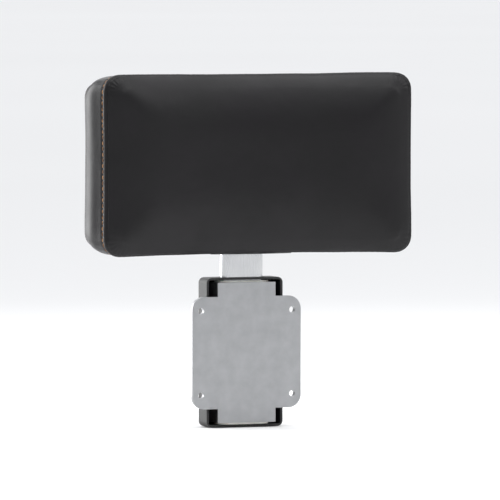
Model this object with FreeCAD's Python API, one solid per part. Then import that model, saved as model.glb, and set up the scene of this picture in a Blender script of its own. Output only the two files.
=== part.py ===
import FreeCAD, Part
import math
import os

# Headrest attachment for an executive office chair: a curved leather pad that tilts on a friction
# hinge at the top of a flat-oval aluminium post. The post slides up and down in a guide that is
# screwed to the back of the chair.
#
# Axes: +Z up, the pad's front faces -Y, +X is the pad's right seen from the front.
# Origin: the middle of the guide's four screw holes, on the face that lies against the chair.
# All lengths are in millimetres and all angles in degrees.

os.makedirs("parts", exist_ok=True)
V = FreeCAD.Vector

# ---- driving dimensions: pad ----
PAD_WIDTH = 350.0           # at the front seam
PAD_HEIGHT = 195.0
PAD_BOTTOM = 105.0
PAD_CROWN = 20.0            # how far the front stands before the seam
PAD_DEPTH = 47.0            # from the seam back to the rear panel
PLAN_RADIUS = 727.0         # of the seam, seen from above; the ends come forward
CORNER_RADIUS = 18.0
FRONT_EDGE_RADIUS = 16.0
REAR_EDGE_RADIUS = 8.0
REAR_SEAM = 3.0             # rear seam in front of the rear surface, just round the edge
REAR_TAPER = 9.0            # top and bottom draw in by this much from the seam to the rear
LEATHER = 1.5
WADDING = 4.0
STITCH_OFFSET = 6.5         # topstitch behind the seam
STITCH_WIDTH = 1.2
STITCH_PROUD = 0.5

# ---- driving dimensions: post, guide and hinge ----
SEAM_TO_POST = 48.0         # from the seam's two ends back to the post's front face
POST_WIDTH = 48.0
POST_DEPTH = 15.0
POST_WALL = 2.5
POST_LOW = -70.0
POST_TOP = 122.0
TRAVEL = 60.0
PLATE = 6.0                 # flange that lies against the chair
GLIDE = 3.0                 # glide wall between post and guide
GUIDE_HALF_HEIGHT = 75.0
GUIDE_WALL = 6.0
FLANGE_HALF_WIDTH = 62.0
FLANGE_HALF_HEIGHT = 60.0
HOLE_X = 52.0
HOLE_Z = 45.0
HOLE_RADIUS = 3.3           # clears an M6 screw
HINGE_Z = 150.0
KNUCKLE_RADIUS = 12.0
KNUCKLE_HALF = 18.0
KNUCKLE_SCREW_X = (-12.0, 12.0)
KNUCKLE_SCREW_Z = 107.0
AXLE_RADIUS = 5.0
SHEET = 3.0                 # bracket steel
ARM_EYE = 13.0              # radius of the arm's end round the axle
FRICTION_WASHER = 1.5
RUNNING = 0.03              # radial gap of the axle in its bushes
SLIDING = 0.05              # radial gap of the post in its glides
BRAKE_Z = 32.0
STOP_Z = -38.0
COVER_SCREW_Z = (-62.0, 62.0)
COVER_HALF_WIDTH = 43.5
COVER_WALL = 2.5

# ---- worked out from them ----
PAD_TOP = PAD_BOTTOM + PAD_HEIGHT
HALF_ANGLE = math.asin(PAD_WIDTH / 2 / PLAN_RADIUS)
POST_FRONT = PLATE + GLIDE
POST_Y = POST_FRONT + POST_DEPTH / 2
POST_REAR = POST_FRONT + POST_DEPTH
CENTRE_Y = POST_FRONT - SEAM_TO_POST - PLAN_RADIUS * math.cos(HALF_ANGLE)
CROWN_RADIUS = PLAN_RADIUS - PAD_CROWN
REAR_RADIUS = PLAN_RADIUS + PAD_DEPTH
REAR_SEAM_RADIUS = REAR_RADIUS - REAR_SEAM
PAD_REAR_Y = CENTRE_Y + REAR_RADIUS
GUIDE_HALF_WIDTH = POST_WIDTH / 2 + GLIDE + GUIDE_WALL
GUIDE_REAR = POST_REAR + GLIDE + GUIDE_WALL

# ---- inner carrier, hinge well and rear cover ----
CARRIER_FRONT_RADIUS = 733.0
CARRIER_THICKNESS = 7.0
CARRIER_HALF_WIDTH = 150.0
CARRIER_MARGIN = 20.0       # carrier's edge inside the pad's top and bottom
CARRIER_REAR = -3.0         # flat middle that the bracket is screwed to
WELL_HALF_WIDTH = 44.0
WELL_WALL = 2.0
WELL_TOP = 255.0
WELL_LIP_Z = 127.0          # below this the well's floor slopes forward to clear the post
WELL_LIP_FRONT = -14.5
WELL_FLANGE = 5.0
FLANGE_GAP = 0.3            # between the flange's edge and the leather
COVER_LOW = 139.0
COVER_MARGIN = 8.0
COVER_THICKNESS = 3.0
BRACKET_LOW = 132.0
BRACKET_HIGH = 207.0
BRACKET_HALF_WIDTH = 40.0
BRACKET_SCREWS = [(x, z) for x in (-32.0, 32.0) for z in (142.0, 197.0)]
BOSS_X = 34.0
BOSS_Z = 236.0              # rear cover's screws
WELL_SCREW_Z = 222.0


def box(x0, x1, y0, y1, z0, z1):
    return Part.makeBox(x1 - x0, y1 - y0, z1 - z0, V(x0, y0, z0))


def rod_x(radius, x0, x1, y, z):
    return Part.makeCylinder(radius, x1 - x0, V(x0, y, z), V(1, 0, 0))


def rod_y(radius, y0, y1, x, z):
    return Part.makeCylinder(radius, y1 - y0, V(x, y0, z), V(0, 1, 0))


def rod_z(radius, z0, z1, x, y):
    return Part.makeCylinder(radius, z1 - z0, V(x, y, z0), V(0, 0, 1))


def joined(first, *others):
    return first.multiFuse(list(others)).removeSplitter()


def cut(shape, *tools):
    for tool in tools:
        shape = shape.cut(tool)
    return shape


def flat_oval(width, depth, z0, z1):
    """Upright prism on the post's line: a rectangle with two half-round ends."""
    radius = depth / 2
    half = width / 2 - radius
    middle = box(-half, half, POST_Y - radius, POST_Y + radius, z0, z1)
    ends = [rod_z(radius, z0, z1, x, POST_Y) for x in (-half, half)]
    return joined(middle, *ends)


def slab_y(half_width, z0, z1, y0, y1, corner):
    """Plate with its faces across Y and four rounded corners."""
    plate = box(-half_width, half_width, y0, y1, z0, z1)
    corners = [e for e in plate.Edges if abs(e.tangentAt(e.FirstParameter).y) > 0.99]
    return plate.makeFillet(corner, corners)


def prism_x(points, half_width):
    """Prism across X from corner points given as (y, z)."""
    outline = [V(-half_width, y, z) for y, z in points]
    outline.append(outline[0])
    return Part.Face(Part.makePolygon(outline)).extrude(V(2 * half_width, 0, 0))


def tube_x(outer, inner, x0, x1, y, z):
    return cut(rod_x(outer, x0, x1, y, z), rod_x(inner, x0 - 1, x1 + 1, y, z))


def disc_spring(outer, inner, thickness, x0, height, y, z):
    """Cone washer around an X axis; a negative height turns it over."""
    profile = [V(x0, y, z + inner), V(x0 + thickness, y, z + inner)]
    profile.append(V(x0 + thickness + height, y, z + outer))
    profile.append(V(x0 + height, y, z + outer))
    profile.append(profile[0])
    return Part.Face(Part.makePolygon(profile)).revolve(V(x0, y, z), V(1, 0, 0), 360)


def plan_point(radius, angle, z):
    return V(radius * math.sin(angle), CENTRE_Y + radius * math.cos(angle), z)


def ring_part(inner, outer, inner_angle, outer_angle, z0, z1):
    """Piece of a thick-walled upright cylinder, symmetric about X = 0."""
    front = [plan_point(inner, angle, z0) for angle in (-inner_angle, 0, inner_angle)]
    rear = [plan_point(outer, angle, z0) for angle in (outer_angle, 0, -outer_angle)]
    right = Part.makeLine(front[2], rear[0])
    left = Part.makeLine(rear[2], front[0])
    outline = Part.Wire([Part.Arc(*front).toShape(), right, Part.Arc(*rear).toShape(), left])
    return Part.Face(outline).extrude(V(0, 0, z1 - z0))


def edges_at_radius(shape, radius):
    """Edges that lie on the upright cylinder of this radius about the plan centre."""
    def on_it(edge):
        span = edge.LastParameter - edge.FirstParameter
        points = [edge.valueAt(edge.FirstParameter + span * part) for part in (0, 0.5, 1)]
        return all(abs(math.hypot(p.x, p.y - CENTRE_Y) - radius) < 0.01 for p in points)
    return [edge for edge in shape.Edges if on_it(edge)]


def turned(points):
    """Solid of revolution about the plan centre's upright axis, from corners given as (radius, z)."""
    spread = 2 * HALF_ANGLE
    outline = [plan_point(radius, -spread, z) for radius, z in points]
    outline.append(outline[0])
    face = Part.Face(Part.makePolygon(outline))
    return face.revolve(V(0, CENTRE_Y, 0), V(0, 0, -1), math.degrees(2 * spread))


def pad_form(inset):
    """The pad's outer form, drawn in by inset on every side; behind the seam its height tapers."""
    front = CROWN_RADIUS + inset
    rear = REAR_RADIUS - inset
    taper = REAR_TAPER * (rear - PLAN_RADIUS) / PAD_DEPTH
    low = PAD_BOTTOM + inset
    high = PAD_TOP - inset
    section = [(front, low), (PLAN_RADIUS, low), (rear, low + taper)]
    section += [(rear, high - taper), (PLAN_RADIUS, high), (front, high)]
    front_angle = HALF_ANGLE - math.asin(inset / front)
    rear_angle = HALF_ANGLE - math.asin(inset / rear)
    sides = ring_part(front, rear, front_angle, rear_angle, low - 5, high + 5)
    form = turned(section).common(sides)
    corners = [e for e in form.Edges if is_corner(e)]
    form = form.makeFillet(CORNER_RADIUS - inset, corners)
    form = form.makeFillet(FRONT_EDGE_RADIUS - inset, edges_at_radius(form, front))
    return form.makeFillet(REAR_EDGE_RADIUS - inset, edges_at_radius(form, rear))


def is_corner(edge):
    """True for the edges between the pad's ends and its top or bottom: they run front to back."""
    ends = [edge.valueAt(edge.FirstParameter), edge.valueAt(edge.LastParameter)]
    radii = [math.hypot(p.x, p.y - CENTRE_Y) for p in ends]
    return abs(radii[0] - radii[1]) > 5


def between_radii(inner, outer):
    """Everything between two upright cylinders about the plan centre, as tall as the pad and more."""
    return ring_part(inner, outer, 0.4, 0.4, PAD_BOTTOM - 10, PAD_TOP + 10)


def well_form(grow, half_width):
    """The space of the hinge well: open behind and below, its lowest part sloping forward."""
    floor = CARRIER_REAR + WELL_WALL - grow
    lip = WELL_LIP_FRONT + WELL_WALL - grow
    low = PAD_BOTTOM - 2
    behind = PAD_REAR_Y + 20
    top = WELL_TOP + grow
    points = [(floor, top), (floor, WELL_LIP_Z), (lip, low), (behind, low), (behind, top)]
    return prism_x(points, half_width)


WELL_OUTER = well_form(WELL_WALL, WELL_HALF_WIDTH + WELL_WALL)
PAD_OUTER = pad_form(0)
PAD_INNER = pad_form(LEATHER)
SKIN = PAD_OUTER.cut(PAD_INNER)
FLANGE_FRONT = PAD_REAR_Y - 1.2
FLANGE_REAR = PAD_REAR_Y + 0.6
FLANGE_HALF = WELL_HALF_WIDTH + WELL_FLANGE


# ---- upholstery ----

def leather_opening():
    """Cut in the leather for the well and its flange."""
    half = FLANGE_HALF + FLANGE_GAP
    top = WELL_TOP + WELL_FLANGE + FLANGE_GAP
    rear = box(-half, half, PAD_REAR_Y - 12, PAD_REAR_Y + 20, PAD_BOTTOM - 5, top)
    return joined(WELL_OUTER, rear)


def front_leather_panel():
    return SKIN.common(between_radii(CROWN_RADIUS - 20, PLAN_RADIUS))


def side_leather_band():
    return cut(SKIN.common(between_radii(PLAN_RADIUS, REAR_SEAM_RADIUS)), leather_opening())


def rear_leather_panel():
    return cut(SKIN.common(between_radii(REAR_SEAM_RADIUS, REAR_RADIUS + 20)), leather_opening())


def seam_topstitch():
    """One line of thick thread all round the side band, just behind the front seam."""
    start = PLAN_RADIUS + STITCH_OFFSET
    ring = pad_form(-STITCH_PROUD).common(between_radii(start, start + STITCH_WIDTH))
    return cut(ring, PAD_OUTER, WELL_OUTER)


def front_wadding():
    layer = PAD_INNER.cut(pad_form(LEATHER + WADDING))
    return layer.common(between_radii(CROWN_RADIUS - 20, PLAN_RADIUS))


def foam_core():
    rest = cut(PAD_INNER, front_wadding(), WELL_OUTER, leather_opening())
    return cut(rest, inner_carrier_solid(), tee_nut_solids(0.0))


# ---- carrier and hinge well ----

def inner_carrier_solid():
    low = PAD_BOTTOM + CARRIER_MARGIN
    high = PAD_TOP - CARRIER_MARGIN
    rear = CARRIER_FRONT_RADIUS + CARRIER_THICKNESS
    angle = math.asin(CARRIER_HALF_WIDTH / CARRIER_FRONT_RADIUS)
    shell = ring_part(CARRIER_FRONT_RADIUS, rear, angle, angle, low, high)
    middle = CENTRE_Y + CARRIER_FRONT_RADIUS + CARRIER_THICKNESS / 2
    half = WELL_HALF_WIDTH + WELL_WALL
    seat = box(-half, half, middle, CARRIER_REAR, low, WELL_TOP + WELL_WALL)
    return cut(joined(shell, seat), WELL_OUTER)


def tee_nut_solids(bore):
    """Four tee nuts whose flanges bear on the carrier's front; a bore of 0 leaves them solid."""
    flange_front = CENTRE_Y + CARRIER_FRONT_RADIUS - 2.5
    nuts = []
    for x, z in BRACKET_SCREWS:
        nut = joined(
            rod_y(9.0, flange_front, flange_front + 1.5, x, z),
            rod_y(4.0, flange_front, CARRIER_REAR, x, z),
        )
        if bore > 0:
            nut = cut(nut, rod_y(bore, flange_front - 1, CARRIER_REAR + 1, x, z))
        nuts.append(nut)
    return Part.makeCompound(nuts)


def inner_carrier():
    holes = [rod_y(1.6, CARRIER_REAR - 9, CARRIER_REAR + 1, x, WELL_SCREW_Z) for x in (-BOSS_X, BOSS_X)]
    return cut(inner_carrier_solid(), tee_nut_solids(0.0), *holes)


def hinge_well():
    """Moulded liner of the well, with a rear flange and two screw bosses for the rear cover."""
    liner = cut(WELL_OUTER, well_form(0, WELL_HALF_WIDTH)).common(PAD_OUTER)
    window = box(
        -WELL_HALF_WIDTH + 1, WELL_HALF_WIDTH - 1,
        CARRIER_REAR - 1, CARRIER_REAR + WELL_WALL + 0.5,
        WELL_LIP_Z + 2, BRACKET_HIGH + 4,
    )
    flange = slab_y(FLANGE_HALF, PAD_BOTTOM + 14, WELL_TOP + WELL_FLANGE, FLANGE_FRONT, FLANGE_REAR, 4.0)
    flange = cut(flange, well_form(0, WELL_HALF_WIDTH))
    bosses = [rod_y(4.5, CARRIER_REAR + 1, FLANGE_REAR, x, BOSS_Z) for x in (-BOSS_X, BOSS_X)]
    liner = joined(cut(liner, window), flange, *bosses)
    bores = [rod_y(1.6, FLANGE_REAR - 14, FLANGE_REAR + 1, x, BOSS_Z) for x in (-BOSS_X, BOSS_X)]
    screws = [rod_y(1.8, CARRIER_REAR - 1, CARRIER_REAR + 4, x, WELL_SCREW_Z) for x in (-BOSS_X, BOSS_X)]
    return cut(liner, *bores, *screws)


def pan_screw(radius, head_radius, head_height, seat_y, length, x, z):
    """Screw driven forward from behind: its head stands behind seat_y and its shank in front."""
    shank = rod_y(radius, seat_y - length, seat_y + head_height / 2, x, z)
    head = rod_y(head_radius, seat_y, seat_y + head_height, x, z)
    rim = [e for e in head.Edges if abs(e.CenterOfMass.y - seat_y - head_height) < 0.01]
    screw = joined(head.makeFillet(head_height * 0.35, rim), shank)
    recess = rod_y(head_radius * 0.45, seat_y + head_height * 0.5, seat_y + head_height + 1, x, z)
    return cut(screw, recess)


def well_screws():
    seat = CARRIER_REAR + WELL_WALL
    screws = [pan_screw(1.55, 3.2, 2.2, seat, 9.0, x, WELL_SCREW_Z) for x in (-BOSS_X, BOSS_X)]
    return Part.makeCompound(screws)


def rear_cover():
    """Shallow moulded lid over the upper part of the well; the post comes in below it."""
    half = WELL_HALF_WIDTH + COVER_MARGIN
    lid = slab_y(half, COVER_LOW, WELL_TOP + COVER_MARGIN, FLANGE_REAR, FLANGE_REAR + COVER_THICKNESS, 12.0)
    rim = [e for e in lid.Edges if abs(e.CenterOfMass.y - FLANGE_REAR - COVER_THICKNESS) < 0.01]
    lid = lid.makeFillet(2.0, rim)
    holes = [rod_y(1.8, FLANGE_REAR - 1, FLANGE_REAR + 5, x, BOSS_Z) for x in (-BOSS_X, BOSS_X)]
    seats = [rod_y(3.6, FLANGE_REAR + 1, FLANGE_REAR + 5, x, BOSS_Z) for x in (-BOSS_X, BOSS_X)]
    return cut(lid, *holes, *seats)


def rear_cover_screws():
    seat = FLANGE_REAR + 1
    return Part.makeCompound([pan_screw(1.55, 3.4, 1.9, seat, 13.0, x, BOSS_Z) for x in (-BOSS_X, BOSS_X)])


# ---- hinge ----

ARM_INNER = KNUCKLE_HALF + SLIDING + FRICTION_WASHER
ARM_OUTER = ARM_INNER + SHEET


def hinge_bracket():
    """Base plate with two arms that reach back to the axle on both sides of the knuckle."""
    base = slab_y(BRACKET_HALF_WIDTH, BRACKET_LOW, BRACKET_HIGH, CARRIER_REAR, CARRIER_REAR + SHEET, 6.0)
    root = CARRIER_REAR + SHEET / 2
    at_base = [(root, BRACKET_LOW), (root, BRACKET_HIGH - 12)]
    at_axle = [(POST_Y, HINGE_Z + ARM_EYE - 0.5), (POST_Y, HINGE_Z - ARM_EYE + 0.5)]
    arms = []
    for side in (-1, 1):
        eye = rod_x(ARM_EYE, -SHEET / 2, SHEET / 2, POST_Y, HINGE_Z)
        arm = joined(prism_x(at_base + at_axle, SHEET / 2), eye)
        arm.translate(V(side * (ARM_INNER + SHEET / 2), 0, 0))
        arms.append(arm)
    holes = [rod_y(3.3, CARRIER_REAR - 1, CARRIER_REAR + SHEET + 1, x, z) for x, z in BRACKET_SCREWS]
    axle_hole = rod_x(AXLE_RADIUS + SLIDING, -40, 40, POST_Y, HINGE_Z)
    return cut(joined(base, *arms), *holes, axle_hole)


def bracket_screws():
    seat = CARRIER_REAR + SHEET
    return Part.makeCompound([pan_screw(2.95, 5.2, 3.4, seat, 13.0, x, z) for x, z in BRACKET_SCREWS])


def hinge_axle():
    """Shouldered bolt: round head on the left, plain shank through the hinge, thread on the right."""
    head = rod_x(8.0, -ARM_OUTER - 5, -ARM_OUTER, POST_Y, HINGE_Z)
    rim = [e for e in head.Edges if abs(e.CenterOfMass.x + ARM_OUTER + 5) < 0.01]
    shank = rod_x(AXLE_RADIUS, -ARM_OUTER - 1, ARM_OUTER, POST_Y, HINGE_Z)
    thread = rod_x(4.0, ARM_OUTER - 1, ARM_OUTER + 12, POST_Y, HINGE_Z)
    bolt = joined(head.makeFillet(1.5, rim), shank, thread)
    return cut(bolt, hexagon_x(2.9, -ARM_OUTER - 6, -ARM_OUTER - 2.5))


def hexagon_x(half_flats, x0, x1):
    """Six-sided prism on the axle's line."""
    reach = half_flats / math.cos(math.pi / 6)
    corners = []
    for step in range(7):
        angle = step * math.pi / 3
        corners.append(V(x0, POST_Y + reach * math.cos(angle), HINGE_Z + reach * math.sin(angle)))
    return Part.Face(Part.makePolygon(corners)).extrude(V(x1 - x0, 0, 0))


def axle_lock_nut():
    start = ARM_OUTER + 3.6
    return cut(hexagon_x(6.5, start, start + 6.5), rod_x(4.0, start - 1, start + 8, POST_Y, HINGE_Z))


def hinge_disc_springs():
    first = disc_spring(8.0, 4.1, 0.8, ARM_OUTER + 1.0, -1.0, POST_Y, HINGE_Z)
    second = disc_spring(8.0, 4.1, 0.8, ARM_OUTER + 1.85, 0.9, POST_Y, HINGE_Z)
    return Part.makeCompound([first, second])


def friction_washers():
    washers = []
    for side in (-1, 1):
        start = min(side * (KNUCKLE_HALF + SLIDING), side * ARM_INNER)
        washers.append(tube_x(11.0, AXLE_RADIUS + SLIDING, start, start + FRICTION_WASHER, POST_Y, HINGE_Z))
    return Part.makeCompound(washers)


def hinge_knuckle():
    """Cast head of the post: a cross barrel, a neck, and a tenon inside the tube."""
    barrel = rod_x(KNUCKLE_RADIUS, -KNUCKLE_HALF, KNUCKLE_HALF, POST_Y, HINGE_Z)
    neck = box(-KNUCKLE_HALF, KNUCKLE_HALF, POST_FRONT, POST_REAR, POST_TOP, HINGE_Z)
    inner = POST_WALL + SLIDING
    tenon = flat_oval(POST_WIDTH - 2 * inner, POST_DEPTH - 2 * inner, POST_TOP - 30, POST_TOP + 1)
    bore = rod_x(AXLE_RADIUS + 1.5, -30, 30, POST_Y, HINGE_Z)
    return cut(joined(barrel, neck, tenon), bore, knuckle_screw_solids())


def knuckle_bushes():
    bushes = []
    for start in (-KNUCKLE_HALF, 2.0):
        bushes.append(tube_x(AXLE_RADIUS + 1.5, AXLE_RADIUS + RUNNING, start, start + 16, POST_Y, HINGE_Z))
    return Part.makeCompound(bushes)


def knuckle_screw_solids():
    screws = []
    for x in KNUCKLE_SCREW_X:
        head = rod_y(4.0, POST_REAR - POST_WALL, POST_REAR, x, KNUCKLE_SCREW_Z)
        shank = rod_y(2.5, POST_REAR - 10, POST_REAR - POST_WALL, x, KNUCKLE_SCREW_Z)
        socket = rod_y(1.6, POST_REAR - 1.5, POST_REAR + 1, x, KNUCKLE_SCREW_Z)
        screws.append(cut(joined(head, shank), socket))
    return Part.makeCompound(screws)


# ---- post ----

def support_post():
    tube = flat_oval(POST_WIDTH, POST_DEPTH, POST_LOW, POST_TOP)
    hollow = flat_oval(POST_WIDTH - 2 * POST_WALL, POST_DEPTH - 2 * POST_WALL, POST_LOW - 1, POST_TOP + 1)
    screw_holes = [rod_y(4.0, POST_Y, POST_REAR + 1, x, KNUCKLE_SCREW_Z) for x in KNUCKLE_SCREW_X]
    stop_hole = rod_y(2.5, POST_Y, POST_REAR + 1, 0, STOP_Z)
    return cut(tube, hollow, stop_hole, *screw_holes)


def post_end_plug():
    """Plug in the tube's lower end; its foot holds the travelling glide on the tube."""
    inner = POST_WALL + SLIDING
    plug = flat_oval(POST_WIDTH - 2 * inner, POST_DEPTH - 2 * inner, POST_LOW - 1, STOP_Z + 10)
    foot = flat_oval(POST_WIDTH + 5, POST_DEPTH + 5, POST_LOW - 3, POST_LOW)
    return cut(joined(plug, foot), rod_y(2.5, POST_Y - 4, POST_REAR, 0, STOP_Z))


def lower_glide():
    """Glide that travels with the post inside the guide."""
    outer = GLIDE - SLIDING
    sleeve = flat_oval(POST_WIDTH + 2 * outer, POST_DEPTH + 2 * outer, POST_LOW, POST_LOW + 26)
    return cut(sleeve, flat_oval(POST_WIDTH, POST_DEPTH, POST_LOW - 1, POST_LOW + 27))


def stop_screw():
    shank = rod_y(2.5, POST_Y - 4, POST_REAR, 0, STOP_Z)
    head = rod_y(4.0, POST_REAR, POST_REAR + 5, 0, STOP_Z)
    return cut(joined(shank, head), rod_y(1.6, POST_REAR + 2.5, POST_REAR + 6, 0, STOP_Z))


# ---- guide ----

def guide_housing():
    """Cast block with the flat-oval passage, a screw flange, a stop slot and a brake boss."""
    height = GUIDE_HALF_HEIGHT
    block = box(-GUIDE_HALF_WIDTH, GUIDE_HALF_WIDTH, 0, GUIDE_REAR, -height, height)
    rear_edges = [e for e in block.Edges if abs(e.CenterOfMass.y - GUIDE_REAR) < 0.01 and e.Length > 100]
    block = block.makeFillet(9.0, rear_edges)
    flange = slab_y(FLANGE_HALF_WIDTH, -FLANGE_HALF_HEIGHT, FLANGE_HALF_HEIGHT, 0, PLATE, 14.0)
    flange_rim = [e for e in flange.Edges if abs(e.CenterOfMass.y - PLATE) < 0.01]
    flange = flange.makeFillet(1.5, flange_rim)
    boss = rod_x(8.0, GUIDE_HALF_WIDTH - 5, 40, POST_Y, BRAKE_Z)
    passage = flat_oval(POST_WIDTH + 2 * GLIDE, POST_DEPTH + 2 * GLIDE, -height - 1, height + 1)
    shoe_bore = rod_x(5.0, POST_WIDTH / 2 - 6, 34, POST_Y, BRAKE_Z)
    screw_bore = rod_x(4.0, 33, 41, POST_Y, BRAKE_Z)
    corners = [(x, z) for x in (-HOLE_X, HOLE_X) for z in (-HOLE_Z, HOLE_Z)]
    holes = [rod_y(HOLE_RADIUS, -1, PLATE + 1, x, z) for x, z in corners]
    cover_holes = [rod_y(1.6, GUIDE_REAR - 5, GUIDE_REAR + 1, 0, z) for z in COVER_SCREW_Z]
    housing = cut(joined(block, flange, boss), passage, shoe_bore, screw_bore, stop_slot())
    return cut(housing, *holes, *cover_holes)


def stop_slot():
    """Slot in the guide's rear wall; the stop screw's head meets its ends at both limits."""
    radius = 4.3
    middle = box(-radius, radius, POST_REAR, GUIDE_REAR + 1, STOP_Z, STOP_Z + TRAVEL)
    ends = [rod_y(radius, POST_REAR, GUIDE_REAR + 1, 0, z) for z in (STOP_Z, STOP_Z + TRAVEL)]
    return joined(middle, *ends)


def upper_glide():
    outer = GLIDE - SLIDING
    top = GUIDE_HALF_HEIGHT
    sleeve = flat_oval(POST_WIDTH + 2 * outer, POST_DEPTH + 2 * outer, top - 30, top)
    collar = flat_oval(POST_WIDTH + 12, POST_DEPTH + 12, top, top + 1.5)
    gap = 2 * SLIDING
    return cut(joined(sleeve, collar), flat_oval(POST_WIDTH + gap, POST_DEPTH + gap, top - 31, top + 3))


def guide_end_cap():
    outer = GLIDE - SLIDING
    low = -GUIDE_HALF_HEIGHT
    plate = flat_oval(POST_WIDTH + 12, POST_DEPTH + 12, low - 2, low)
    spigot = flat_oval(POST_WIDTH + 2 * outer, POST_DEPTH + 2 * outer, low - 1, low + 1)
    return joined(plate, spigot)


def brake_shoe():
    """Friction shoe, hollowed to the post's rounded edge."""
    shoe = rod_x(4.95, POST_WIDTH / 2 - 5, 30, POST_Y, BRAKE_Z)
    gap = 2 * SLIDING
    return cut(shoe, flat_oval(POST_WIDTH + gap, POST_DEPTH + gap, BRAKE_Z - 10, BRAKE_Z + 10))


def brake_disc_springs():
    first = disc_spring(4.8, 2.2, 0.6, 30.05, 1.2, POST_Y, BRAKE_Z)
    second = disc_spring(4.8, 2.2, 0.6, 33.2, -1.2, POST_Y, BRAKE_Z)
    return Part.makeCompound([first, second])


def brake_set_screw():
    screw = rod_x(3.95, 34, 40, POST_Y, BRAKE_Z)
    return cut(screw, rod_x(2.0, 36.5, 41, POST_Y, BRAKE_Z))


def guide_cover():
    """Moulded cap over the guide, open in front, with ways for the post and the brake screw."""
    half = COVER_HALF_WIDTH
    wall = COVER_WALL
    top = GUIDE_HALF_HEIGHT + 5
    rear = GUIDE_REAR + wall
    outer = box(-half, half, PLATE, rear, -top, top)
    outer_edges = [e for e in outer.Edges if e.CenterOfMass.y > PLATE + 1]
    outer = outer.makeFillet(6.0, outer_edges)
    inner = box(-half + wall, half - wall, PLATE - 1, GUIDE_REAR, -top + wall, top - wall)
    inner_edges = [e for e in inner.Edges if e.CenterOfMass.y > PLATE + 1]
    inner = inner.makeFillet(2.0, inner_edges)
    post_way = flat_oval(POST_WIDTH + 3, POST_DEPTH + 3, 0, top + 5)
    key_way = rod_x(4.0, 38, 50, POST_Y, BRAKE_Z)
    holes = [rod_y(1.8, GUIDE_REAR - 1, rear + 1, 0, z) for z in COVER_SCREW_Z]
    seats = [rod_y(3.6, GUIDE_REAR + 1, rear + 1, 0, z) for z in COVER_SCREW_Z]
    return cut(outer, inner, post_way, key_way, *holes, *seats)


def guide_cover_screws():
    seat = GUIDE_REAR + 1
    return Part.makeCompound([pan_screw(1.55, 3.4, 1.6, seat, 5.5, 0, z) for z in COVER_SCREW_Z])


NODES = {
    # upholstery and pad structure
    "front_leather_panel": front_leather_panel,
    "side_leather_band": side_leather_band,
    "rear_leather_panel": rear_leather_panel,
    "seam_topstitch": seam_topstitch,
    "front_wadding": front_wadding,
    "foam_core": foam_core,
    "inner_carrier": inner_carrier,
    "hinge_well": hinge_well,
    "well_screws": well_screws,
    "rear_cover": rear_cover,
    "rear_cover_screws": rear_cover_screws,
    # hinge
    "hinge_bracket": hinge_bracket,
    "bracket_screws": bracket_screws,
    "bracket_tee_nuts": lambda: tee_nut_solids(3.0),
    "hinge_axle": hinge_axle,
    "axle_lock_nut": axle_lock_nut,
    "hinge_disc_springs": hinge_disc_springs,
    "friction_washers": friction_washers,
    "hinge_knuckle": hinge_knuckle,
    "knuckle_bushes": knuckle_bushes,
    "knuckle_screws": knuckle_screw_solids,
    # post
    "support_post": support_post,
    "post_end_plug": post_end_plug,
    "lower_glide": lower_glide,
    "stop_screw": stop_screw,
    # guide
    "guide_housing": guide_housing,
    "upper_glide": upper_glide,
    "guide_end_cap": guide_end_cap,
    "brake_shoe": brake_shoe,
    "brake_disc_springs": brake_disc_springs,
    "brake_set_screw": brake_set_screw,
    "guide_cover": guide_cover,
    "guide_cover_screws": guide_cover_screws,
}

for name, make in NODES.items():
    shape = make()
    shape.exportStep("parts/" + name + ".step")
    print(f"{name}: {len(shape.Solids)} solids, {shape.Volume / 1000:.2f} cm3, valid {shape.isValid()}")
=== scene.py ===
# %% [markdown]
# # A leather headrest on a sliding post
#
# The object is a headrest that screws to the back of an office chair. A curved leather pad tilts on
# a friction hinge, and the hinge sits on a polished aluminium post that slides in a guide. The hard
# parts come finished from the design model, so this lesson gives them their metals and plastics and
# makes the soft part, the pad, from nothing: a blank, a little air pressure, seams and stitches.

import math

import bmesh
import bpy
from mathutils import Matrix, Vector, noise


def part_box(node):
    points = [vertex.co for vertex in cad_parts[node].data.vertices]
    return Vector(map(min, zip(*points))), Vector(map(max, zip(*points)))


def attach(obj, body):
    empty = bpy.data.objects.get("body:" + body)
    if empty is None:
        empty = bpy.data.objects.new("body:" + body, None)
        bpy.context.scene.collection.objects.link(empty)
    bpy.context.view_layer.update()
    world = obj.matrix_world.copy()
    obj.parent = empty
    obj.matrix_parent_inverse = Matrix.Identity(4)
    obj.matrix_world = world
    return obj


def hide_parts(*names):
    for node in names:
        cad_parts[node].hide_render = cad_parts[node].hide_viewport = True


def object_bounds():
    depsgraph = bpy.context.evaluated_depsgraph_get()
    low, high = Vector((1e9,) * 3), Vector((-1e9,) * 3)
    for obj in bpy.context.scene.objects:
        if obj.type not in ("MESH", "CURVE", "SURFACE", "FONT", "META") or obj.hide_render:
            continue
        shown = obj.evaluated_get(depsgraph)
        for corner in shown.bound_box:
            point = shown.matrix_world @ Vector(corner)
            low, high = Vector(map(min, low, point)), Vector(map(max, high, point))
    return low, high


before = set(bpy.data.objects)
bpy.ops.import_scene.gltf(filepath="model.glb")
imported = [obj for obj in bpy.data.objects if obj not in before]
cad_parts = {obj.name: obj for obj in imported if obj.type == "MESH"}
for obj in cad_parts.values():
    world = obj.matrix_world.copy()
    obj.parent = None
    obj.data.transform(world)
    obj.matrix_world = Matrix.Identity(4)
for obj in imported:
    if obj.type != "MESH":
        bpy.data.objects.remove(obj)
CAD_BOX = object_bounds()
MM = 0.001
print("design box", [round(v, 4) for corner in CAD_BOX for v in corner])

# %% [markdown]
# ## The view, the floor and the light
#
# A long lens from far away keeps upright lines upright. The pad is turned so that its left side
# shows. The light is what makes black leather readable: leather this dark shows mostly what it
# mirrors, so a broad lamp overhead draws the top edge, a tall bright panel at the left and a little
# behind draws the side band, and the front is left to mirror the dim part of the room. The Standard
# view keeps the blacks black, where a filmic one would lift them to grey.

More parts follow.
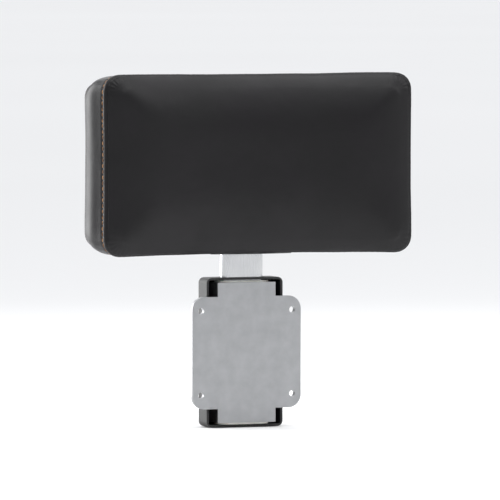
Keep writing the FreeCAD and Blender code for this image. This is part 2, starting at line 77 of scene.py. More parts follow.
# %% Camera
AZIMUTH = math.radians(-21.0)
ELEVATION = math.radians(2.7)
DISTANCE = 8.3
LENS = 560.0


def view_direction(azimuth, elevation):
    """Unit vector from the object towards a viewer at this azimuth and elevation."""
    flat = math.cos(elevation)
    return Vector((math.sin(azimuth) * flat, -math.cos(azimuth) * flat, math.sin(elevation)))


def look_at(thing, place, target):
    thing.location = place
    thing.rotation_euler = (target - place).to_track_quat("-Z", "Y").to_euler()


centre = (Vector(CAD_BOX[0]) + Vector(CAD_BOX[1])) / 2  # of the whole object
camera = bpy.data.objects.new("camera", bpy.data.cameras.new("camera"))
bpy.context.collection.objects.link(camera)
camera.data.lens = LENS
camera.data.clip_end = 50.0
look_at(camera, centre + view_direction(AZIMUTH, ELEVATION) * DISTANCE, centre)
bpy.context.scene.camera = camera
bpy.context.scene.view_settings.view_transform = "Standard"
print("camera", [round(v, 3) for v in camera.location])

# %% Floor
floor_mesh = bmesh.new()
bmesh.ops.create_grid(floor_mesh, x_segments=1, y_segments=1, size=30.0)
bmesh.ops.translate(floor_mesh, verts=floor_mesh.verts, vec=(0, 0, CAD_BOX[0][2] - 0.5 * MM))
floor_data = bpy.data.meshes.new("floor")
floor_mesh.to_mesh(floor_data)
floor_mesh.free()
floor = bpy.data.objects.new("floor", floor_data)
bpy.context.collection.objects.link(floor)

# %% Lamps
def lamp(name, azimuth, elevation, distance, width, height, power):
    """A flat lamp that faces the object: angles in degrees, lengths in metres, power in watts."""
    data = bpy.data.lights.new(name, "AREA")
    data.shape = "RECTANGLE"
    data.size = width
    data.size_y = height
    data.energy = power
    item = bpy.data.objects.new(name, data)
    bpy.context.collection.objects.link(item)
    direction = view_direction(math.radians(azimuth), math.radians(elevation))
    look_at(item, centre + direction * distance, centre)
    return item


lamp("overhead_softbox", -15, 76, 1.6, 1.6, 1.0, 15)
lamp("left_panel", -138, 5, 1.5, 1.1, 1.6, 28)
lamp("right_fill", 62, 30, 2.2, 1.2, 1.2, 8)
lamp("rear_rim", 165, 38, 1.9, 1.2, 0.9, 8)

# %% [markdown]
# ## Building shaders
#
# The room's light and every material is a small graph of nodes. One function adds a node, sets its
# values and joins its inputs, so a graph reads as a list of what feeds what.

# %% Colour and node helpers
def linear(code):
    """A colour written as sRGB hex, turned to the linear values that the shader works in."""
    values = []
    for start in (1, 3, 5):
        channel = int(code[start:start + 2], 16) / 255
        values.append(channel / 12.92 if channel <= 0.04045 else ((channel + 0.055) / 1.055) ** 2.4)
    return (*values, 1.0)


def add(tree, kind, links=None, stops=(), **settings):
    """Adds a node. Links feed its inputs, stops fill a colour ramp, settings are inputs or properties."""
    item = tree.nodes.new("ShaderNode" + kind)
    for name, value in settings.items():
        socket = name.replace("_", " ").title()
        if socket in item.inputs:
            item.inputs[socket].default_value = value
        else:
            setattr(item, name, value)
    for name, source in (links or {}).items():
        tree.links.new(source, item.inputs[name])
    for index, (position, code) in enumerate(stops):
        while len(item.color_ramp.elements) <= index:
            item.color_ramp.elements.new(position)
        item.color_ramp.elements[index].position = position
        item.color_ramp.elements[index].color = linear(code)
    return item


# %% [markdown]
# ### The room
#
# The room is dim at eye level and bright overhead, like a studio with a white ceiling. The pale floor
# is lit by the ceiling, so it stays nearly white, while leather and metal that face the viewer mirror
# the dim part and keep their depth.

# %% Room light
world = bpy.data.worlds.new("studio")
bpy.context.scene.world = world
world.use_nodes = True
room = world.node_tree
background = room.nodes["Background"]
upward = add(room, "SeparateXYZ", {"Vector": add(room, "TexCoord").outputs["Generated"]})
ceiling = add(room, "MapRange", {"Value": upward.outputs["Z"]}, interpolation_type="SMOOTHSTEP",
              from_min=0.10, from_max=0.85, to_min=0.36, to_max=1.25)
room.links.new(ceiling.outputs["Result"], background.inputs["Strength"])
background.inputs["Color"].default_value = (0.97, 0.98, 1.0, 1)

# %% [markdown]
# ## Building materials
#
# Patterns read Object coordinates, which are metres in the part's own frame, so a pattern's scale is
# simply one divided by the size of its grain.

# %% Material helpers
def per(size_mm):
    """The texture scale that makes one grain this many millimetres wide."""
    return 1 / (size_mm * MM)


def new_material(name, **shader_values):
    """A material with its shader's fixed values set; gives back its tree, shader and coordinates."""
    material = bpy.data.materials.new(name)
    material.use_nodes = True
    tree = material.node_tree
    shader = tree.nodes["Principled BSDF"]
    for key, value in shader_values.items():
        socket = key.replace("_", " ").title().replace("Ior", "IOR")
        shader.inputs[socket].default_value = value
    return material, tree, shader, add(tree, "TexCoord").outputs["Object"]


def finish_shader(tree, shader, colour, roughness, normal):
    tree.links.new(colour, shader.inputs["Base Color"])
    tree.links.new(roughness, shader.inputs["Roughness"])
    tree.links.new(normal, shader.inputs["Normal"])


# %% [markdown]
# ### Leather
#
# The pad is covered in black semi-aniline cowhide: drum-dyed, then sealed with a thin clear finish.
# The eye reads three things. The finish gives a soft sheen that grows towards the edges of the form.
# The grain is a net of fine creases around pebbles, with pores between. Last, the sheen is uneven,
# because the finish is rubbed brighter where heads and hands touch it.

# %% Black leather
def black_leather():
    material, tree, shader, place = new_material(
        "black_semi_aniline_leather", ior=1.5, specular_ior_level=0.29, sheen_weight=0.02,
        sheen_roughness=0.45, sheen_tint=linear("#9C94A6"))
    # real pebbles are 0.8 to 1.2 mm; drawn at 1.6 mm so that they show
    warp = add(tree, "TexNoise", {"Vector": place}, scale=per(6.0), detail=2.0)
    wander = add(tree, "MixRGB", {"Color1": place, "Color2": warp.outputs["Color"]}, fac=0.0012)
    pebbles = add(tree, "TexVoronoi", {"Vector": wander.outputs["Color"]}, feature="DISTANCE_TO_EDGE",
                  scale=per(1.6))
    creases = add(tree, "MapRange", {"Value": pebbles.outputs["Distance"]}, from_max=0.18)
    pores = add(tree, "TexVoronoi", {"Vector": place}, scale=per(0.7))
    handled = add(tree, "TexNoise", {"Vector": place}, scale=per(55.0), detail=3.0)
    wrinkles = add(tree, "TexNoise", {"Vector": place}, scale=per(11.0), detail=4.0, roughness=0.55)
    dye = add(tree, "ValToRGB", {"Fac": handled.outputs["Fac"]}, [(0.32, "#0B0A0C"), (0.70, "#121013")])
    gloss = add(tree, "MapRange", {"Value": handled.outputs["Fac"]}, from_min=0.3, from_max=0.7,
                to_min=0.47, to_max=0.37)
    folds = add(tree, "Bump", {"Height": wrinkles.outputs["Fac"]}, distance=0.5 * MM, strength=0.35)
    net = add(tree, "Bump", {"Height": creases.outputs["Result"], "Normal": folds.outputs["Normal"]},
              distance=0.07 * MM, strength=0.3)
    skin = add(tree, "Bump", {"Height": pores.outputs["Distance"], "Normal": net.outputs["Normal"]},
               distance=0.05 * MM, strength=0.3)
    finish_shader(tree, shader, dye.outputs["Color"], gloss.outputs["Result"], skin.outputs["Normal"])
    return material


LEATHER = black_leather()
print(LEATHER.name, "has", len(LEATHER.node_tree.nodes), "nodes")

# %% [markdown]
# ### Thread
#
# The topstitch is a thick bonded polyester thread in a tan colour. Its plies are twisted, so a wave
# runs diagonally over each stitch: a slanting ridge, with painted shade in its grooves and a painted
# highlight on its crests, which show as slanting stripes.

# %% Tan thread
def tan_thread():
    material, tree, shader, place = new_material("tan_bonded_polyester_thread", ior=1.55,
                                                 specular_ior_level=0.4)
    twist = add(tree, "TexWave", {"Vector": place}, bands_direction="DIAGONAL", scale=per(0.9) / 20,
                distortion=1.5)
    fuzz = add(tree, "TexNoise", {"Vector": place}, scale=per(0.4), detail=2.0)
    # painted shade and highlight: the thread is darker in the grooves between the plies and lighter on
    # their crests
    painted_ply_shade = add(tree, "ValToRGB", {"Fac": twist.outputs["Fac"]}, [(0.2, "#6F4A2C"), (0.8, "#A87B50")])
    rough = add(tree, "MapRange", {"Value": fuzz.outputs["Fac"]}, to_min=0.5, to_max=0.75)
    ridge = add(tree, "Bump", {"Height": twist.outputs["Fac"]}, distance=0.15 * MM, strength=0.6)
    finish_shader(tree, shader, painted_ply_shade.outputs["Color"], rough.outputs["Result"], ridge.outputs["Normal"])
    return material


THREAD = tan_thread()

# %% [markdown]
# ### Metals
#
# The post is polished aluminium: bright, with hair-fine lines along it from the polishing belt. The
# castings were tumbled, so they are greyer and have a soft, pebbly skin. Screws are zinc plated, and
# springs and small screws carry a thin dark conversion coat.

# %% Polished aluminium
def polished_aluminium():
    material, tree, shader, place = new_material("belt_polished_aluminium", metallic=1.0)
    # belt lines are 0.1 mm apart; drawn at 0.8 mm so that they show, and drawn out along Z
    along = add(tree, "Mapping", {"Vector": place}, scale=(1.0, 1.0, 0.008))
    lines = add(tree, "TexNoise", {"Vector": along.outputs["Vector"]}, scale=per(0.8), detail=3.0)
    smears = add(tree, "TexNoise", {"Vector": place}, scale=per(35.0), detail=2.0)
    tone = add(tree, "ValToRGB", {"Fac": smears.outputs["Fac"]}, [(0.3, "#D6D7D9"), (0.7, "#E1E2E3")])
    rough = add(tree, "MapRange", {"Value": lines.outputs["Fac"]}, to_min=0.16, to_max=0.34)
    scratch = add(tree, "Bump", {"Height": lines.outputs["Fac"]}, distance=0.01 * MM, strength=0.4)
    finish_shader(tree, shader, tone.outputs["Color"], rough.outputs["Result"], scratch.outputs["Normal"])
    return material


POLISHED = polished_aluminium()

# %% Other metals
def metal(name, dark, light, blotch_mm, grain_mm, depth_mm, smooth, rough):
    """A metal whose tone and gloss drift in blotches and whose skin has a fine grain."""
    material, tree, shader, place = new_material(name, metallic=1.0)
    blotches = add(tree, "TexNoise", {"Vector": place}, scale=per(blotch_mm), detail=3.0)
    skin = add(tree, "TexNoise", {"Vector": place}, scale=per(grain_mm), detail=3.0)
    tone = add(tree, "ValToRGB", {"Fac": blotches.outputs["Fac"]}, [(0.3, dark), (0.7, light)])
    gloss = add(tree, "MapRange", {"Value": blotches.outputs["Fac"]}, from_min=0.3, from_max=0.7,
                to_min=smooth, to_max=rough)
    relief = add(tree, "Bump", {"Height": skin.outputs["Fac"]}, distance=depth_mm * MM, strength=0.6)
    finish_shader(tree, shader, tone.outputs["Color"], gloss.outputs["Result"], relief.outputs["Normal"])
    return material


# tumbling leaves a satin skin with 1 mm pebbles; plating and conversion coats copy the steel below
CAST = metal("tumbled_cast_aluminium", "#A6A7A9", "#B2B3B5", 14.0, 1.0, 0.08, 0.36, 0.44)
ZINC = metal("zinc_plated_steel", "#A9ABB0", "#C6C6BE", 4.0, 0.6, 0.02, 0.22, 0.38)
SPRING = metal("phosphated_spring_steel", "#4A4A4C", "#5F5E5C", 3.0, 0.4, 0.02, 0.38, 0.52)
BLACK_OXIDE = metal("black_oxide_steel", "#2B2B2D", "#3D3D3F", 3.0, 0.4, 0.02, 0.32, 0.46)
print("metals:", ", ".join(m.name for m in (POLISHED, CAST, ZINC, SPRING, BLACK_OXIDE)))

# %% [markdown]
# ### Coatings and plastics
#
# The covers are moulded in black ABS against a spark-eroded steel mould, so their skin is a fine even
# sandpaper that kills reflections. The bracket is powder coated, which leaves a slight orange peel.
# Acetal is milky white and waxy, and lets a little light in. The hidden carrier is glass-filled nylon,
# in which short fibres make pale streaks. The brake lining is pressed fibre, rough and speckled.

# %% Plastics, powder coat and lining
def skin_material(name, dark, light, drift_mm, grain_mm, depth_mm, smooth, rough, **shader_values):
    """An even colour with a faint drift or speckle, under a textured skin."""
    material, tree, shader, place = new_material(name, **shader_values)
    drift = add(tree, "TexNoise", {"Vector": place}, scale=per(drift_mm), detail=3.0)
    skin = add(tree, "TexNoise", {"Vector": place}, scale=per(grain_mm), detail=3.0, roughness=0.6)
    tone = add(tree, "ValToRGB", {"Fac": drift.outputs["Fac"]}, [(0.3, dark), (0.7, light)])
    gloss = add(tree, "MapRange", {"Value": skin.outputs["Fac"]}, from_min=0.3, from_max=0.7,
                to_min=smooth, to_max=rough)
    relief = add(tree, "Bump", {"Height": skin.outputs["Fac"]}, distance=depth_mm * MM, strength=0.6)
    finish_shader(tree, shader, tone.outputs["Color"], gloss.outputs["Result"], relief.outputs["Normal"])
    return material


# the spark pits are 0.1 mm; drawn at 0.7 mm so that they show
ABS = skin_material("spark_textured_black_abs", "#19191A", "#222223", 30.0, 0.7, 0.08, 0.42, 0.60, ior=1.54)
POWDER = skin_material("black_powder_coat", "#1A1A1B", "#242425", 20.0, 1.4, 0.08, 0.28, 0.42, ior=1.5)
NYLON = skin_material("glass_filled_nylon", "#1B1B1C", "#3A3A3A", 2.0, 0.8, 0.05, 0.45, 0.65, ior=1.53)
ACETAL = skin_material("natural_acetal", "#D6D6CE", "#E6E6E0", 12.0, 1.5, 0.02, 0.26, 0.36, ior=1.48,
                       subsurface_weight=0.08, subsurface_scale=0.002)
LINING = skin_material("pressed_friction_fibre", "#4E382A", "#86674B", 1.2, 0.7, 0.12, 0.70, 0.88, ior=1.5)

# %% Pale floor
def matt_floor():
    material, tree, shader, place = new_material("matt_pale_floor", ior=1.5, specular_ior_level=0.2)
    cloud = add(tree, "TexNoise", {"Vector": place}, scale=0.3, detail=1.0)
    tone = add(tree, "ValToRGB", {"Fac": cloud.outputs["Fac"]}, [(0.3, "#F0F0F0"), (0.7, "#F2F2F2")])
    dull = add(tree, "MapRange", {"Value": cloud.outputs["Fac"]}, to_min=0.7, to_max=0.8)
    even = add(tree, "Bump", {"Height": cloud.outputs["Fac"]}, distance=0.1 * MM, strength=0.1)
    finish_shader(tree, shader, tone.outputs["Color"], dull.outputs["Result"], even.outputs["Normal"])
    return material


floor.data.materials.append(matt_floor())

# %% Dress the design's own nodes
DRESS = [
    (POLISHED, ["support_post"]),
    (CAST, ["hinge_knuckle", "guide_housing"]),
    (ZINC, ["well_screws", "bracket_screws", "bracket_tee_nuts", "hinge_axle", "axle_lock_nut",
            "stop_screw", "knuckle_screws"]),
    (SPRING, ["hinge_disc_springs", "brake_disc_springs"]),
    (BLACK_OXIDE, ["rear_cover_screws", "brake_set_screw", "guide_cover_screws"]),
    (ABS, ["hinge_well", "rear_cover", "guide_cover"]),
    (POWDER, ["hinge_bracket"]),
    (NYLON, ["inner_carrier"]),
    (ACETAL, ["post_end_plug", "lower_glide", "knuckle_bushes", "upper_glide", "guide_end_cap"]),
    (LINING, ["friction_washers", "brake_shoe"]),
]
for material, nodes in DRESS:
    for node in nodes:
        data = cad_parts[node].data
        data.materials.clear()
        data.materials.append(material)
    print(material.name, "on", ", ".join(nodes))

# %% [markdown]
# ## The pad, made flat and bent later
#
# The pad bends around an upright axis in front of it, so its front is hollow to the head. Seams on a
# bent form are awkward to cut. On a flat one each seam is a plane, and a plane can cut a mesh in one
# step. So the pad is sewn flat, in coordinates where x runs along it, y goes from the front seam
# towards the rear and z is up, and is bent at the very end by one small function.

# %% Sizes of the pad
SEAM_RADIUS = 727 * MM  # of the pad's curve, at the front seam
PAD_DEPTH = 47 * MM     # from the front seam to the rear surface
REAR_SEAM = 44 * MM     # from the front seam to the rear seam
REAR_EDGE = 8 * MM      # rounding of the rear rim
REAR_TAPER = 9 * MM     # how much lower the rear is, above and below
FACE_DEPTH = 15 * MM    # rise of the pillow before it is inflated
CORNER = 18 * MM        # radius of the outline's corners
VOXEL = 5.5 * MM        # the blank's mesh spacing
SWELL_LIMIT = 9 * MM    # the furthest that pressure may move a point
panel_low, panel_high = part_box("front_leather_panel")
rear_low, rear_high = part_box("rear_leather_panel")
CENTRE_Y = rear_high[1] - SEAM_RADIUS - PAD_DEPTH
HALF_LENGTH = SEAM_RADIUS * math.asin(panel_high[0] / SEAM_RADIUS)
HALF_HEIGHT = (panel_high[2] - panel_low[2]) / 2
MIDDLE_Z = (panel_high[2] + panel_low[2]) / 2
print(f"pad {2000 * HALF_LENGTH:.1f} mm along the seam, {2000 * HALF_HEIGHT:.1f} mm high")


def bend(mesh):
    """Moves a flat-made mesh to its bent place: x becomes an angle and y a distance from the axis."""
    for vertex in mesh.verts:
        angle = vertex.co.x / SEAM_RADIUS
        radius = SEAM_RADIUS + vertex.co.y
        vertex.co.x = radius * math.sin(angle)
        vertex.co.y = CENTRE_Y + radius * math.cos(angle)


# %% [markdown]
# ### The blank
#
# A box with four rounded corners stands for the side band, and draws in towards the rear. Insetting
# its front face twice raises a low pillow, and bevelling the rear rim rounds the back. The blank is
# deliberately a little flat: air pressure will do the rest.

# %% Blank
def pad_blank():
    mesh = bmesh.new()
    bmesh.ops.create_cube(mesh, size=2.0)
    bmesh.ops.scale(mesh, verts=mesh.verts, vec=(HALF_LENGTH, PAD_DEPTH / 2, HALF_HEIGHT))
    bmesh.ops.translate(mesh, verts=mesh.verts, vec=(0, PAD_DEPTH / 2, MIDDLE_Z))
    corners = [e for e in mesh.edges if abs(e.verts[0].co.y - e.verts[1].co.y) > PAD_DEPTH / 2]
    bmesh.ops.bevel(mesh, geom=corners, offset=CORNER, offset_type="OFFSET", affect="EDGES", segments=8,
                    profile=0.5, material=-1)
    for vertex in mesh.verts:
        if vertex.co.y > PAD_DEPTH / 2:
            vertex.co.z = MIDDLE_Z + (vertex.co.z - MIDDLE_Z) * (1 - REAR_TAPER / HALF_HEIGHT)
    for width, rise in ((10 * MM, 0.62 * FACE_DEPTH), (15 * MM, 0.38 * FACE_DEPTH)):
        face = [f for f in mesh.faces if f.normal.y < -0.99]
        bmesh.ops.inset_region(mesh, faces=face, thickness=width, depth=rise, use_even_offset=True)
    rear_rim = [e for f in mesh.faces if f.normal.y > 0.99 for e in f.edges]
    bmesh.ops.bevel(mesh, geom=rear_rim, offset=REAR_EDGE, offset_type="OFFSET", affect="EDGES", segments=3,
                    profile=0.5, material=-1)
    return mesh


def as_object(name, mesh):
    data = bpy.data.meshes.new(name)
    mesh.to_mesh(data)
    mesh.free()
    item = bpy.data.objects.new(name, data)
    bpy.context.collection.objects.link(item)
    return item


def settle(item):
    """Applies every modifier on the object, as it looks at the current frame."""
    bpy.context.view_layer.update()
    graph = bpy.context.evaluated_depsgraph_get()
    shaped = bpy.data.meshes.new_from_object(item.evaluated_get(graph), depsgraph=graph)
    item.modifiers.clear()
    item.data = shaped


blank = as_object("pad_blank", pad_blank())
voxels = blank.modifiers.new("voxels", "REMESH")
voxels.mode = "VOXEL"
voxels.voxel_size = VOXEL
settle(blank)
print("blank has", len(blank.data.vertices), "vertices")

# %% [markdown]
# ### Air pressure
#
# Leather over foam is stretched between its seams, so it bulges between them and is held at them. The
# cloth simulation does just that: the points on both seams and on the flat back are pinned, pressure
# pushes the rest out, and gravity is off because foam holds the pad up. No point may go further than
# a set distance, which keeps the form near the size of the design.

# %% Inflate
def pin_weights(item):
    """Pins the two seams and the flat back."""
    held = item.vertex_groups.new(name="held")
    for vertex in item.data.vertices:
        y = vertex.co.y
        at_seam = min(abs(y), abs(y - REAR_SEAM)) < VOXEL * 0.6
        on_face = abs(vertex.normal.y) > 0.9
        at_back = y > PAD_DEPTH - 1.5 * MM
        if at_back or (at_seam and not on_face):
            held.add([vertex.index], 1.0, "REPLACE")


def inflate(item):
    cloth = item.modifiers.new("leather", "CLOTH")
    cloth.settings.quality = 6
    cloth.settings.mass = 0.3
    cloth.settings.tension_stiffness = 20
    cloth.settings.compression_stiffness = 20
    cloth.settings.shear_stiffness = 6
    cloth.settings.bending_stiffness = 2.0
    cloth.settings.vertex_group_mass = "held"
    cloth.settings.use_pressure = True
    cloth.settings.uniform_pressure_force = 4.0
    cloth.settings.effector_weights.gravity = 0.0
    for step in range(1, 21):
        bpy.context.scene.frame_set(step)
    settle(item)
    bpy.context.scene.frame_set(1)


def limit_swell(item, start, limit):
    """Draws each point back towards its start if it moved further than the limit."""
    furthest = 0.0
    for vertex, was in zip(item.data.vertices, start):
        moved = vertex.co - was
        furthest = max(furthest, moved.length)
        if moved.length > limit:
            vertex.co = was + moved * (limit / moved.length)
    return furthest


start_points = [v.co.copy() for v in blank.data.vertices]
pin_weights(blank)
inflate(blank)
moved_most = limit_swell(blank, start_points, SWELL_LIMIT)
print(f"pressure moved the leather up to {moved_most / MM:.1f} mm")

# %% [markdown]
# ### Smooth form
#
# Smoothing takes out the small steps that the voxels leave and melts the mitred corners of the blank
# into one pillow. The seams are left out of it, because they have to stay where they are sewn. Then
# one subdivision halves the spacing to less than 3 mm.

# %% Subdivide and relax
def subdivide(item):
    finer = item.modifiers.new("finer", "SUBSURF")
    finer.levels = 1
    finer.render_levels = 1
    settle(item)


def relax(mesh, chosen, rounds):
    """Smooths the chosen points of a bmesh."""
    for _ in range(rounds):
        bmesh.ops.smooth_vert(mesh, verts=chosen, factor=0.5, use_axis_x=True, use_axis_y=True,
                              use_axis_z=True)


mesh = bmesh.new()
mesh.from_mesh(blank.data)
relax(mesh, [v for v in mesh.verts if v.co.y < -2 * MM], 10)
relax(mesh, [v for v in mesh.verts if 4 * MM < v.co.y < REAR_SEAM - 4 * MM], 3)
mesh.to_mesh(blank.data)
mesh.free()
subdivide(blank)
print("flat form has", len(blank.data.polygons), "faces")

# %% [markdown]
# ### Three panels
#
# The cover is three pieces of hide: a front panel, a side band and a rear panel. Each is cut from the
# flat form with planes along the seams, and its cut edge is laid exactly on the pad's outline. A seam
# allowance is folded in along every cut, so that two panels meet in a rolled crease and not in a
# knife edge. Between its corners the cover is drawn in a little, as stretched leather always is.

# %% Outline of the pad
def outline_at(point):
    """The nearest point of the pad's outline at this distance behind the seam, and the way out from it."""
    squeeze = 1 - REAR_TAPER * point.y / PAD_DEPTH / HALF_HEIGHT
    past_edge = max(0.0, point.y - PAD_DEPTH + REAR_EDGE)
    radius = CORNER - REAR_EDGE + math.sqrt(REAR_EDGE ** 2 - past_edge ** 2)
    height = (point.z - MIDDLE_Z) / squeeze
    across = max(CORNER - HALF_LENGTH, min(HALF_LENGTH - CORNER, point.x))
    up = max(CORNER - HALF_HEIGHT, min(HALF_HEIGHT - CORNER, height))
    outward = Vector((point.x - across, 0, height - up)).normalized()
    nearest = Vector((across + outward.x * radius, point.y, MIDDLE_Z + (up + outward.z * radius) * squeeze))
    return nearest, outward


# %% Cutting
EVENING_ROUNDS = 12
EVENED_WIDTH = 9 * MM


def points_near(mesh, level, distance, on_edge):
    """Points of the open edge, or all the others, within a distance of one seam's plane."""
    return [v for v in mesh.verts if v.is_boundary == on_edge and abs(v.co.y - level) < distance]


def cut_at(mesh, level, direction):
    """Cuts a flat form at one seam, merges short edges and evens the cut out along the outline."""
    everything = list(mesh.verts) + list(mesh.edges) + list(mesh.faces)
    bmesh.ops.bisect_plane(mesh, geom=everything, dist=1e-6, plane_co=(0, level, 0),
                           plane_no=(0, direction, 0), clear_outer=True)
    for finest in (0.5 * MM, 1.1 * MM):
        rim = points_near(mesh, level, 2 * MM, True)
        short = list({e for v in rim for e in v.link_edges})
        bmesh.ops.dissolve_degenerate(mesh, edges=short, dist=finest)
    rim = points_near(mesh, level, 2 * MM, True)
    beside = points_near(mesh, level, EVENED_WIDTH, False)
    for _ in range(EVENING_ROUNDS):
        beyond = {v: [e.other_vert(v).co for e in v.link_edges if e.is_boundary] for v in rim}
        evened = {v: (v.co + sum(places, Vector()) / len(places)) / 2 for v, places in beyond.items()}
        for vertex, place in evened.items():
            vertex.co = outline_at(Vector((place.x, level, place.z)))[0]
        relax(mesh, beside, 1)


# %% Folding and drawing in
FOLDS = (0.7 * MM, 2.3 * MM)
DRAWN_IN = 1.4 * MM


def fold_in(mesh, lean):
    """Folds strips of leather inwards along the open edges; lean tips them towards front or rear."""
    for allowance in FOLDS:
        made = bmesh.ops.extrude_edge_only(mesh, edges=[e for e in mesh.edges if e.is_boundary])
        for vertex in (g for g in made["geom"] if isinstance(g, bmesh.types.BMVert)):
            inward = Vector((0, lean, 0)) - outline_at(vertex.co)[1]
            vertex.co += inward.normalized() * allowance


def draw_in(mesh):
    """Draws the four sides in between the corners, most at their middles."""
    for vertex in mesh.verts:
        x = vertex.co.x / HALF_LENGTH
        z = (vertex.co.z - MIDDLE_Z) / HALF_HEIGHT
        vertex.co.z -= math.copysign(DRAWN_IN, z) * abs(z) ** 3 * max(0.0, 1 - x * x)
        vertex.co.x -= math.copysign(DRAWN_IN, x) * abs(x) ** 3 * max(0.0, 1 - z * z)


# %% Along the seam
def along_seam(x, z):
    """How far a point lies round the outline from the middle of the top or bottom."""
    straight = HALF_LENGTH - CORNER
    upright = HALF_HEIGHT - CORNER
    past_x = abs(x) - straight
    past_z = abs(z - MIDDLE_Z) - upright
    if past_x > 0 and past_z > 0:
        return straight + CORNER * math.atan2(past_x, past_z)
    if past_z > past_x:
        return abs(x)
    return straight + CORNER * math.pi / 2 + upright - abs(z - MIDDLE_Z)


def bell(distance, width):
    return math.exp(-(distance / width) ** 2)


def corner_share(x, z):
    """1 at the middle of a corner's arc, falling to 0 a little way along the straight sides."""
    middle = HALF_LENGTH - CORNER + CORNER * math.pi / 4
    return bell(along_seam(x, z) - middle, 17 * MM)


# %% [markdown]
# ### What sewing does to the surface
#
# Where a seam pulls the hide down it leaves a groove, with a sharp crease at its bottom. The topstitch
# pulls a second, shallower valley behind the front seam, and the strip between the two puffs up. The
# band between the stitches and the rear seam swells over its foam. At the corners more leather has to
# fit round a shorter line, so it gathers in small puckers that point away from the seam. Elsewhere
# the foam below is never perfectly even, which shows as a very slow wave.

# %% How far sewing moves the cover
STITCH_LINE = 6.5 * MM
FRONT_PUCKER = 6.4 * MM
BAND_PUCKER = 6.0 * MM
SEAM_REACH = 1.5 * MM


def sewn_offset(x, y, z):
    """How far sewing and foam move a point of the cover along its normal."""
    offset = -0.8 * MM * bell(y, 2.2 * MM) - 1.4 * MM * bell(y, 0.7 * MM)
    offset -= 0.5 * MM * bell(y - REAR_SEAM, 2.2 * MM) + 1.1 * MM * bell(y - REAR_SEAM, 0.7 * MM)
    offset -= 0.7 * MM * bell(y - STITCH_LINE, 1.5 * MM)
    offset += 0.35 * MM * bell(y - STITCH_LINE / 2, 1.5 * MM)
    offset += 2.0 * MM * bell(y - (STITCH_LINE + REAR_SEAM) / 2, 11 * MM)
    if y < 0:
        reach = bell(y, 7 * MM)
        wobble = 1.5 * noise.noise(Vector((x, y, z)) * per(22.0))
        gather = math.sin(2 * math.pi * along_seam(x, z) / FRONT_PUCKER + wobble)
        offset += 0.32 * MM * gather * reach * corner_share(x, z)
    else:
        gather = math.sin(2 * math.pi * along_seam(x, z) / BAND_PUCKER)
        offset += 0.08 * MM * gather * bell(y - STITCH_LINE, 4 * MM)
        offset += 0.12 * MM * gather * corner_share(x, z) * bell(y - 12 * MM, 7 * MM)
    offset += 0.45 * MM * noise.noise(Vector((x, y * 1.5, z)) * per(48.0))
    offset += 0.10 * MM * noise.noise(Vector((x, y, z)) * per(13.0))
    return offset


def sew(item):
    """Moves the cover along its normals, and the leather at a seam straight in from the outline."""
    item.data.update()
    moves = []
    for vertex in item.data.vertices:
        at_seam = min(abs(vertex.co.y), abs(vertex.co.y - REAR_SEAM)) < SEAM_REACH
        outward = outline_at(vertex.co)[1] if at_seam else vertex.normal
        moves.append(outward * sewn_offset(*vertex.co))
    for vertex, move in zip(item.data.vertices, moves):
        vertex.co += move


# %% Cut the panels
# each cut is a seam's place and the side that falls away: 1 is towards the rear, -1 towards the front
CUTS = {
    "front_panel": ([(0.0, 1)], 0.7),
    "side_band": ([(0.0, -1), (REAR_SEAM, 1)], 0.0),
    "rear_panel": ([(REAR_SEAM, -1)], -0.7),
}
panels = {}
for name, (cuts, lean) in CUTS.items():
    mesh = bmesh.new()
    mesh.from_mesh(blank.data)
    for level, direction in cuts:
        cut_at(mesh, level, direction)
    draw_in(mesh)
    fold_in(mesh, lean)
    panels[name] = as_object(name, mesh)
    subdivide(panels[name])
    sew(panels[name])
    print(name, len(panels[name].data.polygons), "faces")

# %% [markdown]
# ### Topstitch
#
# One row of separate stitches runs round the side band. Its line is read from the band itself: a
# plane cuts a copy of the band and leaves only the cut line, which is then walked in even steps. Each
# stitch is a stretched ball whose ends dip into the leather, with only ten faces round and six along.

# %% Walk the stitch line
STITCH_LENGTH = 5.0 * MM
STITCH_PITCH = 6.0 * MM
THREAD_RADIUS = 0.6 * MM
STITCH_LIFT = 0.28 * MM  # how far a stitch's middle stands off the leather
STITCH_DIP = 0.55 * MM   # how far its ends go down from there


def cut_line(item, level):
    """The outer line, in order, where the band crosses a plane behind the seam."""
    mesh = bmesh.new()
    mesh.from_mesh(item.data)
    everything = list(mesh.verts) + list(mesh.edges) + list(mesh.faces)
    bmesh.ops.bisect_plane(mesh, geom=everything, dist=1e-6, plane_co=(0, level, 0), plane_no=(0, 1, 0),
                           clear_outer=True, clear_inner=True)
    vertex = max(mesh.verts, key=lambda v: v.co.z)
    line = [vertex.co.copy()]
    seen = {vertex}
    while True:
        onward = [e.other_vert(vertex) for e in vertex.link_edges if e.other_vert(vertex) not in seen]
        if not onward:
            break
        vertex = onward[0]
        seen.add(vertex)
        line.append(vertex.co.copy())
    mesh.free()
    return line


def even_steps(line, pitch):
    """Points and directions at even steps round a closed line."""
    closed = line + [line[0]]
    lengths = [(b - a).length for a, b in zip(closed, closed[1:])]
    count = round(sum(lengths) / pitch)
    step = sum(lengths) / count
    places, travelled, wanted = [], 0.0, 0.0
    for a, b, length in zip(closed, closed[1:], lengths):
        while wanted < travelled + length and len(places) < count:
            places.append((a.lerp(b, (wanted - travelled) / length), (b - a).normalized()))
            wanted += step
        travelled += length
    return places


stitch_places = even_steps(cut_line(panels["side_band"], STITCH_LINE), STITCH_PITCH)
print(len(stitch_places), "stitches round the band")

# %% Sew the stitches
WELL_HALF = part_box("hinge_well")[1].x


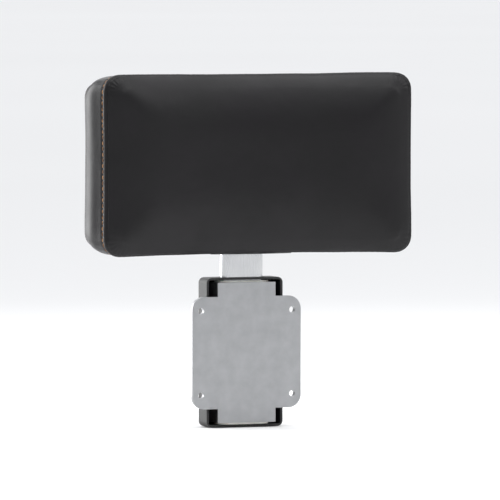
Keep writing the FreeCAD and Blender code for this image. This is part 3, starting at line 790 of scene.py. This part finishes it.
def stitch_row():
    mesh = bmesh.new()
    for place, direction in stitch_places:
        if abs(place.x) < WELL_HALF and place.z < MIDDLE_Z:
            continue
        made = bmesh.ops.create_uvsphere(mesh, u_segments=10, v_segments=6, radius=1.0)
        outward = outline_at(place)[1]
        sideways = direction.cross(outward).normalized()
        for vertex in made["verts"]:
            lengthways = vertex.co.z
            thread = THREAD_RADIUS * (vertex.co.x * outward + vertex.co.y * sideways)
            lift = STITCH_LIFT - STITCH_DIP * lengthways ** 2
            vertex.co = place + direction * lengthways * STITCH_LENGTH / 2 + thread + outward * lift
    bmesh.ops.recalc_face_normals(mesh, faces=mesh.faces)
    bend(mesh)
    return as_object("topstitch", mesh)


stitches = stitch_row()

# %% [markdown]
# ### Bend the pad and open it for the hinge
#
# Now the flat panels are bent to the pad's real curve. The hinge well needs a rectangular opening in
# the rear panel and a notch in the band below. The leather is cut plain there: its edge lies against
# the well's flange, and the rear cover hides most of it.

# %% Openings
CUT_REACH = 75 * MM
OPENING_HALF = 49.6 * MM
OPENING_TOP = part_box("hinge_well")[1].z + 0.4 * MM
NOTCH_HALF = 46.4 * MM
NOTCH_FRONT = -13.2 * MM


def open_up(mesh, inside, planes):
    """Cuts along the planes near the opening and removes what is inside."""
    for place, direction in planes:
        near = [f for f in mesh.faces if abs(f.calc_center_median().x) < CUT_REACH]
        geometry = near + list({e for f in near for e in f.edges})
        geometry += list({v for f in near for v in f.verts})
        bmesh.ops.bisect_plane(mesh, geom=geometry, dist=1e-6, plane_co=place, plane_no=direction)
    gone = [f for f in mesh.faces if inside(f.calc_center_median())]
    bmesh.ops.delete(mesh, geom=gone, context="FACES")
    return len(gone)


def in_rear_opening(point):
    return abs(point.x) < OPENING_HALF and point.z < OPENING_TOP


def in_band_notch(point):
    return abs(point.x) < NOTCH_HALF and point.y > NOTCH_FRONT and point.z < MIDDLE_Z


OPENINGS = {
    "rear_panel": (in_rear_opening, [((OPENING_HALF, 0, 0), (1, 0, 0)),
                                     ((-OPENING_HALF, 0, 0), (1, 0, 0)),
                                     ((0, 0, OPENING_TOP), (0, 0, 1))]),
    "side_band": (in_band_notch, [((NOTCH_HALF, 0, 0), (1, 0, 0)),
                                  ((-NOTCH_HALF, 0, 0), (1, 0, 0)),
                                  ((0, NOTCH_FRONT, 0), (0, 1, 0))]),
}

# %% Bend the panels and give the leather its thickness
LEATHER_THICKNESS = 1.4 * MM
for name, item in panels.items():
    mesh = bmesh.new()
    mesh.from_mesh(item.data)
    bend(mesh)
    if name in OPENINGS:
        print(name, "opened by", open_up(mesh, *OPENINGS[name]), "faces")
    mesh.to_mesh(item.data)
    mesh.free()
    hide = item.modifiers.new("hide", "SOLIDIFY")
    hide.thickness = LEATHER_THICKNESS
    hide.offset = -1.0
    settle(item)
    item.data.shade_smooth()
    item.data.materials.clear()
    item.data.materials.append(LEATHER)
stitches.data.shade_smooth()
stitches.data.materials.append(THREAD)
bpy.data.objects.remove(blank)

# %% Attach the pieces to the head and hide the design's nodes that they replace
PIECES = {
    "front_panel": ("black_leather", ["front_leather_panel", "front_wadding", "foam_core"]),
    "side_band": ("black_leather", ["side_leather_band"]),
    "rear_panel": ("black_leather", ["rear_leather_panel"]),
}
for name, (finish, nodes) in PIECES.items():
    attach(panels[name], "head")
    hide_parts(*nodes)
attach(stitches, "head")
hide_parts("seam_topstitch")
for item in [*panels.values(), stitches]:
    print(item.name, len(item.data.polygons), "faces")
